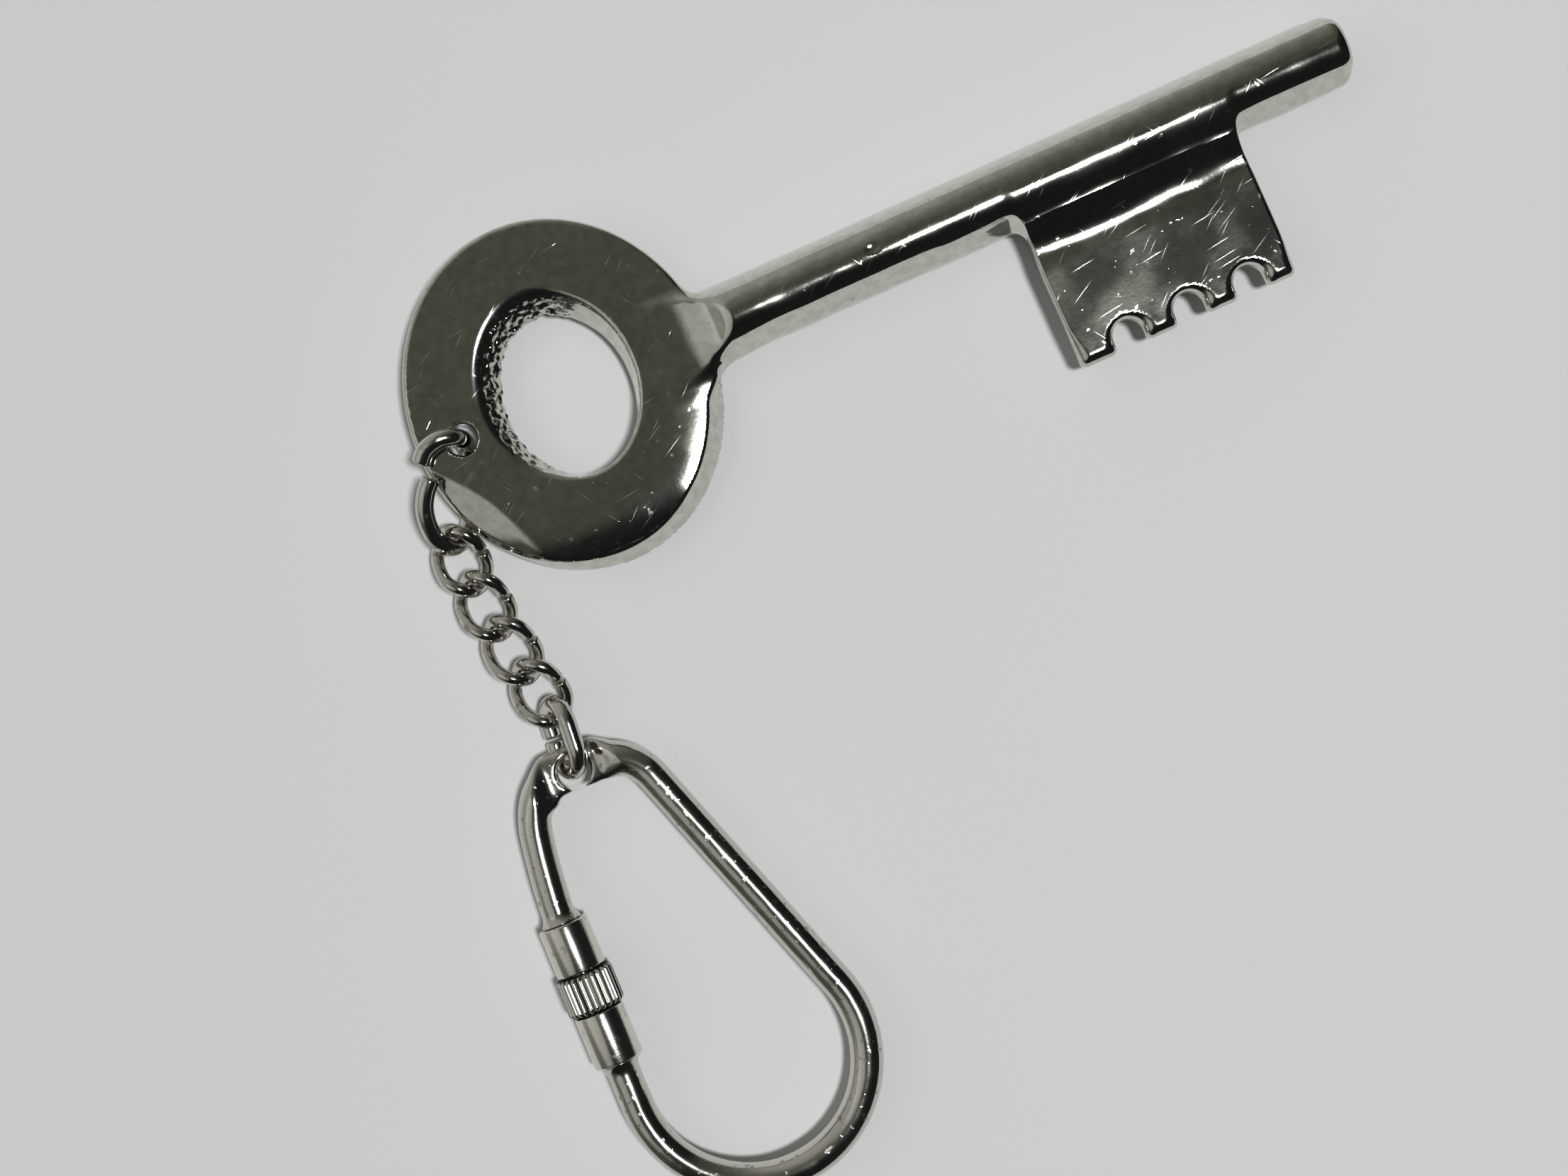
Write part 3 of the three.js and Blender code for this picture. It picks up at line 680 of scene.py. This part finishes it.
# ---------------------------------------------------------------- loop wire
# The loop is 3.5 mm steel wire bent to a long drop, plated after its screw lock was
# brazed on. At the top it is hammered flat and drilled; at each end a small fillet of
# braze runs out of the ferrule on to the wire.
LOOP_WIRE = 1.75
BARREL_X = -7.13
FERRULE_ENDS = (-14.1, -29.5)
BOTTOM_ARC = (5.2, -34.6, 12.33)
LONG_SIDE = math.radians(109.2)
TOP_Y = 0.35
TOP_ARC_RADIUS = 6
EYE_RADIUS = 1.66
EYE_HALF_THICKNESS = 0.85
EYE_HALF_WIDTH = 2.5
WIRE_DEPTH = 2.3  # into each ferrule; the wire's end is round past this
BRAZE_RADIUS = 2.3
BRAZE_TAPER = 0.75
BRAZE_LENGTH = 0.9
LOOP_SKIN_HALF_HEIGHT = 2.4
LOOP_CELL = 0.27
lock_axis = next(j["axis"] for j in frame["joints"] if j["name"] == "screw_spin")
loop_y = np.array([lock_axis[0], lock_axis[1], 0])
loop_x = np.array([loop_y[1], -loop_y[0], 0])


def from_loop(points):
    """From the loop's own frame, at its eye, to the keychain's."""
    flat = np.outer(points[:, 0], loop_x) + np.outer(points[:, 1], loop_y)
    return flat + np.outer(points[:, 2], (0, 0, 1)) + np.array(eye)


def arc(middle_x, middle_y, radius, start, end):
    turn = np.linspace(start, end, 90)
    return np.stack([middle_x + radius * np.cos(turn), middle_y + radius * np.sin(turn)], 1)


def drop_outline():
    lean = LONG_SIDE - math.pi / 2
    low_x, low_y, low_radius = BOTTOM_ARC
    outward = np.array([math.cos(lean), math.sin(lean)])
    side_start = np.array([low_x, low_y]) + low_radius * outward
    top_y = TOP_Y - TOP_ARC_RADIUS
    rise = top_y + TOP_ARC_RADIUS * math.sin(lean) - side_start[1]
    top_x = side_start[0] + rise / math.tan(LONG_SIDE) - TOP_ARC_RADIUS * math.cos(lean)
    part = np.linspace(0, 1, 60)[:, None]
    cubic = [np.array(p) for p in ((-1.6, TOP_Y), (-4.3, TOP_Y), (-5.7, -2.3), (-6.2, -5.2))]
    weights = ((1 - part) ** 3, 3 * part * (1 - part) ** 2, 3 * part**2 * (1 - part), part**3)
    shoulder = sum(w * p for w, p in zip(weights, cubic))
    ends = [np.array(p) for p in ((-6.2, -5.2), (-6.9, -9.2), (BARREL_X, -13.1))]
    weights = ((1 - part) ** 2, 2 * part * (1 - part), part**2)
    drop = sum(w * p for w, p in zip(weights, ends))
    return np.concatenate([
        [(BARREL_X, FERRULE_ENDS[1] + WIRE_DEPTH)],
        arc(low_x, low_y, low_radius, math.pi, lean + 2 * math.pi),
        arc(top_x, top_y, TOP_ARC_RADIUS, lean, math.pi / 2),
        shoulder, drop, [(BARREL_X, FERRULE_ENDS[0] - WIRE_DEPTH)],
    ])


drop_path = drop_outline()
run_start, run_end = drop_path[:-1], drop_path[1:]
run = run_end - run_start
real = (run**2).sum(1) > 1e-8
run_start, run = run_start[real], run[real]
run_length = (run**2).sum(1)


def off_path(x, y):
    """Distance from the wire's centre line in the loop's plane."""
    nearest = np.full(len(x), 1e9)
    for (start_x, start_y), (step_x, step_y), length in zip(run_start, run, run_length):
        share = ((x - start_x) * step_x + (y - start_y) * step_y) / length
        share = np.clip(share, 0, 1)
        gap = (x - start_x - share * step_x) ** 2 + (y - start_y - share * step_y) ** 2
        nearest = np.minimum(nearest, gap)
    return np.sqrt(nearest)


def loop_shape(points, fine):
    """Distance in mm from the wire's surface, in the loop's own frame."""
    x, y, z = points.T
    flat = (1 - ease(np.abs(x) / 3.35, 0.75, 1.5)) * ease(y, -3.6, -2.6)
    thin = 1 - flat * (1 - EYE_HALF_THICKNESS / LOOP_WIRE)
    wide = 1 + flat * (EYE_HALF_WIDTH / LOOP_WIRE - 1)
    power = 2 + 1.4 * flat
    across, up = off_path(x, y) / wide, np.abs(z) / thin
    wire = ((across**power + up**power) ** (1 / power) - LOOP_WIRE) * thin
    for end, outward in zip(FERRULE_ENDS, (1, -1)):
        out = (y - end) * outward
        cone = np.hypot(x - BARREL_X, z) - BRAZE_RADIUS + BRAZE_TAPER * np.maximum(out, 0)
        braze = np.maximum(np.maximum(cone, -out), out - BRAZE_LENGTH)
        wire = joined(wire, braze, 0.5)
    wire = trimmed(wire, EYE_RADIUS - np.hypot(x, y), 0.55)
    if not fine:
        return wire
    from_lock = np.minimum(np.abs(y - FERRULE_ENDS[0]), np.abs(y - FERRULE_ENDS[1]))
    near_lock = ease(from_lock, 1.6, 0.6)
    near_lock *= ease(np.abs(x - BARREL_X), 3.2, 2.6)
    dents = 0.05 * (0.3 + near_lock + 1.2 * flat) * lumps(points, 0.9)
    return wire + dents + 0.03 * lumps(points + 7, 3.5)


loop = Finish("loop_nickel_finish")
loop_grain = loop.cloud(0.3, 4)
loop_clouds = loop.cloud(4, 5).between(0.4, 0.7)
loop_specks = loop.cloud(0.8, 6).between(0.62, 0.7)
loop_nickel = loop.plate(
    colour=loop.tint(loop_specks, (0.61, 0.595, 0.545), (0.33, 0.32, 0.275)),
    roughness=0.11 + loop_clouds * 0.05 + loop_specks * 0.15,
    normal=loop.relief(loop_grain * 0.4 - loop_specks, 0.012),
)

loop_bottom = BOTTOM_ARC[1] - BOTTOM_ARC[2] - LOOP_WIRE
loop_right = BOTTOM_ARC[0] + BOTTOM_ARC[2] + LOOP_WIRE
loop_left = BARREL_X - LOOP_SKIN_HALF_HEIGHT
loop_low = np.array([loop_left, loop_bottom, -LOOP_SKIN_HALF_HEIGHT])
loop_high = np.array([loop_right, TOP_Y + 2.7, LOOP_SKIN_HALF_HEIGHT])
points, quads, normals = skin(loop_shape, loop_low, loop_high, LOOP_CELL)
turned_normals = from_loop(normals) - np.array(eye)
drop = metal_piece("loop_drop_wire", from_loop(points), quads, turned_normals, loop_nickel)
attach(drop, "loop")
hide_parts("loop_wire")

# ---------------------------------------------------------------- ferrules
# Two plain sleeves turned from plated brass close the loop's ends. The upper one holds
# the screw's journal, and the lower one is threaded inside for the screw.
WIRE_BORE = 1.9
FERRULE_RADIUS = 2.65
JOURNAL_HOLE = 1.35
THREAD_HOLE = 1.65
UPPER_LENGTH = 5.25
LOWER_LENGTH = 5.7
END_WALL = 1
TAPPED_DEPTH = (2.85, 3.15)  # where the tapped hole starts and ends widening to the bore
CORNER = 0.22


def lathe(name, profile, sides, finish, twist=None):
    """Turns a closed profile of (radius, place along the lock) about the lock's axis."""
    profile = np.array(profile)
    turn = np.linspace(0, 2 * math.pi, sides, endpoint=False)
    radius = profile[:, 0][:, None] * np.ones(sides)
    along = profile[:, 1][:, None] * np.ones(sides)
    if twist is not None:
        radius = twist(radius, along, turn[None, :])
    x = BARREL_X + radius * np.cos(turn)
    points = np.stack([x, along, radius * np.sin(turn)], -1).reshape(-1, 3)
    rows = np.arange(len(profile))[:, None] * sides
    column = np.arange(sides)[None, :]
    after = (column + 1) % sides
    if profile[0, 0] < 1e-6:
        rows = rows[:-1]
        following = rows + sides
    else:
        following = np.roll(rows, -1)
    quads = np.stack([rows + column, following + column, following + after, rows + after], -1)
    mesh = bpy.data.meshes.new(name)
    mesh.from_pydata((from_loop(points) * MM).tolist(), [], quads.reshape(-1, 4).tolist())
    piece = bpy.data.objects.new(name, mesh)
    bpy.context.scene.collection.objects.link(piece)
    bm = bmesh.new()
    bm.from_mesh(mesh)
    bmesh.ops.remove_doubles(bm, verts=bm.verts, dist=1e-7)
    bmesh.ops.recalc_face_normals(bm, faces=bm.faces)
    bm.to_mesh(mesh)
    bm.free()
    mesh.shade_smooth()
    mesh.set_sharp_from_angle(angle=math.radians(40))
    mesh.materials.append(finish)
    return piece


def rounded_corner(radius, along, size, quarter):
    """Five points round a turned corner, from one face to the next."""
    turn = math.pi / 2 * (quarter + np.linspace(0, 1, 5))
    return [(radius + size * math.cos(a), along + size * math.sin(a)) for a in turn]


turned = Finish("turned_nickel_finish")
lathe_lines = turned.node(
    "ShaderNodeMapping",
    {"vector_type": "TEXTURE"},
    {"Vector": turned.place, "Scale": (20 * MM, 0.12 * MM, 20 * MM)},
)
lines = turned.node(
    "ShaderNodeTexNoise",
    {},
    {"Vector": Signal(turned, lathe_lines.outputs[0]), "Scale": 1, "Detail": 3},
)
lines = Signal(turned, lines.outputs["Fac"])
stains = turned.cloud(1.5, 6).between(0.58, 0.72)
turned_nickel = turned.plate(
    colour=turned.tint(stains, (0.7, 0.68, 0.62), (0.42, 0.4, 0.34)),
    roughness=0.1 + lines * 0.07 + stains * 0.15,
    normal=turned.relief(lines, 0.01),
)

upper_top, lower_bottom = FERRULE_ENDS
upper_bottom = upper_top - UPPER_LENGTH
lower_top = lower_bottom + LOWER_LENGTH
upper_profile = [
    (JOURNAL_HOLE, upper_bottom),
    *rounded_corner(FERRULE_RADIUS - CORNER, upper_bottom + CORNER, CORNER, -1),
    *rounded_corner(FERRULE_RADIUS - CORNER, upper_top - CORNER, CORNER, 0),
    (WIRE_BORE, upper_top),
    (WIRE_BORE, upper_bottom + END_WALL),
    (JOURNAL_HOLE, upper_bottom + END_WALL),
]
lower_profile = [
    (WIRE_BORE, lower_bottom),
    *rounded_corner(FERRULE_RADIUS - CORNER, lower_bottom + CORNER, CORNER, -1),
    *rounded_corner(FERRULE_RADIUS - CORNER, lower_top - CORNER, CORNER, 0),
    (THREAD_HOLE, lower_top),
    (THREAD_HOLE, lower_top - TAPPED_DEPTH[0]),
    (WIRE_BORE, lower_top - TAPPED_DEPTH[1]),
]
for name, profile in (("upper_ferrule", upper_profile), ("lower_ferrule", lower_profile)):
    sleeve = lathe(name + "_sleeve", profile, 72, turned_nickel)
    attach(sleeve, "loop")
    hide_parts(name)

# ---------------------------------------------------------------- knurled collar
# The collar is pressed on the screw. Twenty-six straight ridges run round it, flat on
# top and chamfered at both ends, with painted shade in the grooves between them.
COLLAR_RIDGES = 26
COLLAR_RADIUS = 3.05
RIDGE_DEPTH = 0.45
RIDGE_CHAMFER = 0.3
RIDGE_STEPS = 33
RUNNING_GAP = 0.15
COLLAR_TOP = upper_bottom - RUNNING_GAP
COLLAR_LENGTH = 4.15
core = COLLAR_RADIUS - RIDGE_DEPTH
collar_bottom = COLLAR_TOP - COLLAR_LENGTH
core_profile = [
    (THREAD_HOLE, collar_bottom),
    *rounded_corner(core - CORNER, collar_bottom + CORNER, CORNER, -1),
    *rounded_corner(core - CORNER, COLLAR_TOP - CORNER, CORNER, 0),
    (THREAD_HOLE, COLLAR_TOP),
]
half_way = collar_bottom + COLLAR_LENGTH / 2
collar_middle = from_loop(np.array([[BARREL_X, half_way, 0]]))[0] * MM
knurled = Finish("knurled_nickel_finish")
beside = knurled.vector("SUBTRACT", knurled.place, tuple(collar_middle))
across = knurled.vector("CROSS_PRODUCT", beside, tuple(loop_y))
radius = knurled.vector("LENGTH", across)
# painted shade: the grooves below the ridge tops are coloured near-black and made rougher
painted_groove_shade = 1 - radius.between((core + 0.1) * MM, (COLLAR_RADIUS - 0.06) * MM)
knurled_nickel = knurled.plate(
    colour=knurled.tint(painted_groove_shade, (0.66, 0.65, 0.59), (0.06, 0.06, 0.052)),
    roughness=0.11 + painted_groove_shade * 0.35,
)
collar_core = lathe("knurled_collar_core", core_profile, 104, knurled_nickel)

knurling = Workshop(
    "knurling",
    {
        "Core": "NodeSocketGeometry",
        "Ridges": "NodeSocketInt",
        "Radius": "NodeSocketFloat",
        "Depth": "NodeSocketFloat",
        "Length": "NodeSocketFloat",
        "Chamfer": "NodeSocketFloat",
        "Middle": "NodeSocketVector",
        "Lean": "NodeSocketVector",
        "Finish": "NodeSocketMaterial",
    },
)
given = knurling.given
half = knurling.maths("MULTIPLY", given["Length"], 0.5)
foot = knurling.add("ShaderNodeCombineXYZ", {}, {"Z": knurling.maths("MULTIPLY", half, -1.0)})[0]
head = knurling.add("ShaderNodeCombineXYZ", {}, {"Z": half})[0]
ridge_line = knurling.add("GeometryNodeCurvePrimitiveLine", {}, {"Start": foot, "End": head})[0]
ridge_line = knurling.add(
    "GeometryNodeResampleCurve", {}, {"Curve": ridge_line, "Count": RIDGE_STEPS}
)[0]
along = knurling.add("GeometryNodeSplineParameter", {}, {})["Length"]
from_end = knurling.maths("MINIMUM", along, knurling.maths("SUBTRACT", given["Length"], along))
ramp = knurling.add(
    "ShaderNodeMapRange",
    {},
    {"Value": from_end, "From Max": given["Chamfer"], "To Min": 0.45, "To Max": 1.0},
)[0]
pitch = knurling.maths("DIVIDE", given["Radius"], given["Ridges"])
thick = knurling.maths("MULTIPLY", given["Depth"], 2.6)
ridge_section = knurling.add(
    "GeometryNodeCurvePrimitiveQuadrilateral",
    {"mode": "TRAPEZOID"},
    {
        "Height": thick,
        "Bottom Width": knurling.maths("MULTIPLY", pitch, 5.6),
        "Top Width": knurling.maths("MULTIPLY", pitch, 2.5),
        "Offset": 0.0,
    },
)[0]
ridge = knurling.add(
    "GeometryNodeCurveToMesh",
    {},
    {"Curve": ridge_line, "Profile Curve": ridge_section, "Scale": ramp, "Fill Caps": True},
)[0]
circle_radius = knurling.maths(
    "SUBTRACT", given["Radius"], knurling.maths("MULTIPLY", thick, 0.5)
)
circle = knurling.add(
    "GeometryNodeMeshCircle", {}, {"Vertices": given["Ridges"], "Radius": circle_radius}
)[0]
position = knurling.add("GeometryNodeInputPosition", {}, {})[0]
outward = knurling.add("FunctionNodeAlignRotationToVector", {"axis": "Y"}, {"Vector": position})[0]
upright = knurling.add(
    "FunctionNodeAlignRotationToVector",
    {"axis": "Z", "pivot_axis": "Y"},
    {"Rotation": outward, "Vector": (0, 0, 1)},
)[0]
ridges = knurling.add(
    "GeometryNodeInstanceOnPoints",
    {},
    {"Points": circle, "Instance": ridge, "Rotation": upright},
)[0]
turn_up = knurling.add(
    "FunctionNodeAlignRotationToVector", {"axis": "Z"}, {"Vector": given["Lean"]}
)[0]
placed = knurling.add(
    "GeometryNodeTransform",
    {},
    {"Geometry": ridges, "Translation": given["Middle"], "Rotation": turn_up},
)[0]
together = knurling.add("GeometryNodeJoinGeometry", {}, {})
join = together[0].node
knurling.tree.links.new(placed, join.inputs[0])
knurling.tree.links.new(given["Core"], join.inputs[0])
knurling.deliver(together[0])

start = collar_core.data
bpy.data.objects.remove(collar_core)
collar = knurling.make(
    "knurled_collar_ridged",
    start,
    {
        "Ridges": COLLAR_RIDGES,
        "Radius": COLLAR_RADIUS * MM,
        "Depth": RIDGE_DEPTH * MM,
        "Length": COLLAR_LENGTH * MM,
        "Chamfer": RIDGE_CHAMFER * MM,
        "Middle": tuple(collar_middle),
        "Lean": tuple(loop_y),
        "Finish": knurled_nickel,
    },
)
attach(collar, "screw")
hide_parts("knurled_collar")

# ---------------------------------------------------------------- screw
# The screw inside the lock: a swaged head and a plain journal that turn in the upper
# ferrule, the seat of the collar, and a right-hand thread for the lower ferrule.
THREAD_RADIUS = 1.5
THREAD_PITCH = 0.6
THREAD_DEPTH = 0.22
JOURNAL_RADIUS = 1.2
HEAD_RADIUS = 1.6
HEAD_LENGTH = 0.7
HEAD_CHAMFER = 0.15
TIP_CHAMFER = 0.25
THREADED_LENGTH = 3.0
thread_tip = lower_top - THREADED_LENGTH
head_bottom = upper_bottom + END_WALL + RUNNING_GAP
head_top = head_bottom + HEAD_LENGTH
thread_end = collar_bottom + 0.4


def cut_thread(radius, along, turn):
    phase = (along / THREAD_PITCH + turn / (2 * math.pi)) % 1
    groove = np.clip(1 - np.abs(2 * phase - 1) * 1.25, 0, 1) * THREAD_DEPTH
    fade = ease(along, thread_tip, thread_tip + 0.3) * ease(along, thread_end, thread_end - 0.4)
    outer = radius > THREAD_RADIUS - 0.01
    return np.where(outer, radius - groove * fade, radius)


shank = np.linspace(thread_tip + TIP_CHAMFER, thread_end, 70)
screw_profile = [
    (0, thread_tip),
    (THREAD_RADIUS - TIP_CHAMFER, thread_tip),
    *[(THREAD_RADIUS, along) for along in shank],
    (THREAD_RADIUS, COLLAR_TOP),
    (JOURNAL_RADIUS, COLLAR_TOP),
    (JOURNAL_RADIUS, head_bottom),
    (HEAD_RADIUS, head_bottom),
    (HEAD_RADIUS, head_top - HEAD_CHAMFER),
    (HEAD_RADIUS - HEAD_CHAMFER, head_top),
    (0, head_top),
]
screw = lathe("lock_screw", screw_profile, 48, turned_nickel, cut_thread)
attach(screw, "screw")
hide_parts("threaded_stud")

# ---------------------------------------------------------------- table
# The keychain lies on a plain pale matt table.
TABLE_REACH = 6
table_mesh = bpy.data.meshes.new("table")
corners = [(x * TABLE_REACH, y * TABLE_REACH, 0) for x, y in ((-1, -1), (1, -1), (1, 1), (-1, 1))]
table_mesh.from_pydata(corners, [], [(0, 1, 2, 3)])
table = bpy.data.objects.new("table", table_mesh)
bpy.context.scene.collection.objects.link(table)
pale = Finish("pale_table")
pale.shader.inputs["Metallic"].default_value = 0
pale.shader.inputs["Specular IOR Level"].default_value = 0.2
shade = pale.cloud(60, 2)
paper = pale.cloud(0.5, 4)
table_mesh.materials.append(
    pale.plate(
        colour=pale.tint(shade * 0.3 + paper * 0.1, (0.78, 0.785, 0.79), (0.74, 0.75, 0.76)),
        roughness=0.8 + paper * 0.1,
        normal=pale.relief(paper, 0.02),
    )
)

# ---------------------------------------------------------------- light
# One round lamp nearly overhead, a dim room that is lighter on one side, and a soft
# window: polished nickel needs dark and light parts of the room to reflect.
LAMP_PLACE = Vector((0.345, -0.225, 1.8))
LAMP_TARGET = Vector((0, -0.03, 0))
LAMP_WIDTH = 0.27
LAMP_POWER = 21.5
lamp_data = bpy.data.lights.new("lamp", "AREA")
lamp_data.shape = "DISK"
lamp_data.size = LAMP_WIDTH
lamp_data.energy = LAMP_POWER
lamp = bpy.data.objects.new("lamp", lamp_data)
bpy.context.scene.collection.objects.link(lamp)
lamp.location = LAMP_PLACE
lamp.rotation_euler = (LAMP_PLACE - LAMP_TARGET).to_track_quat("Z", "Y").to_euler()

ROOM_SHADES = (
    (0.0, (0.015, 0.015, 0.015)), (0.3, (0.011, 0.011, 0.013)), (0.44, (0.016, 0.017, 0.017)),
    (0.5, (0.066, 0.071, 0.056)), (0.6, (0.088, 0.093, 0.074)), (0.74, (0.19, 0.19, 0.17)),
    (0.82, (0.34, 0.34, 0.32)), (1.0, (0.42, 0.42, 0.4)),
)
LIGHTER_SIDE = (0.6 * VIEW_UP - VIEW_RIGHT).normalized()
WINDOW_SIDE = (-0.85 * VIEW_RIGHT - 0.35 * VIEW_UP).normalized()
WINDOW_WAY = (WINDOW_SIDE * 0.64 + Vector((0, 0, 0.77))).normalized()
WINDOW_EDGE = (0.88, 0.96)
WINDOW_SHADE = 0.33


class Room(Finish):
    """The room's own light, worked out from the direction that it comes from."""

    def __init__(self, world):
        world.use_nodes = True
        self.tree = world.node_tree
        coordinates = self.node("ShaderNodeTexCoord", {}, {})
        self.way = Signal(self, coordinates.outputs["Generated"])

    def shades(self, place, stops):
        ramp = self.node("ShaderNodeValToRGB", {}, {0: place})
        for stop_place, _ in stops[1:-1]:
            ramp.color_ramp.elements.new(stop_place)
        for stop, (stop_place, shade) in zip(ramp.color_ramp.elements, stops):
            stop.position = stop_place
            stop.color = (*shade, 1)
        return Signal(self, ramp.outputs[0])


room_world = bpy.data.worlds.new("room")
bpy.context.scene.world = room_world
room = Room(room_world)
sideways = room.vector("DOT_PRODUCT", room.way, tuple(LIGHTER_SIDE))
walls = room.shades(sideways * 0.5 + 0.5, ROOM_SHADES)
towards = room.vector("DOT_PRODUCT", room.way, tuple(WINDOW_WAY))
window = towards.between(*WINDOW_EDGE) * WINDOW_SHADE
light = room.vector("ADD", walls, window)
room.tree.links.new(light.socket, room.tree.nodes["Background"].inputs["Color"])
bpy.context.scene.view_settings.view_transform = "Standard"
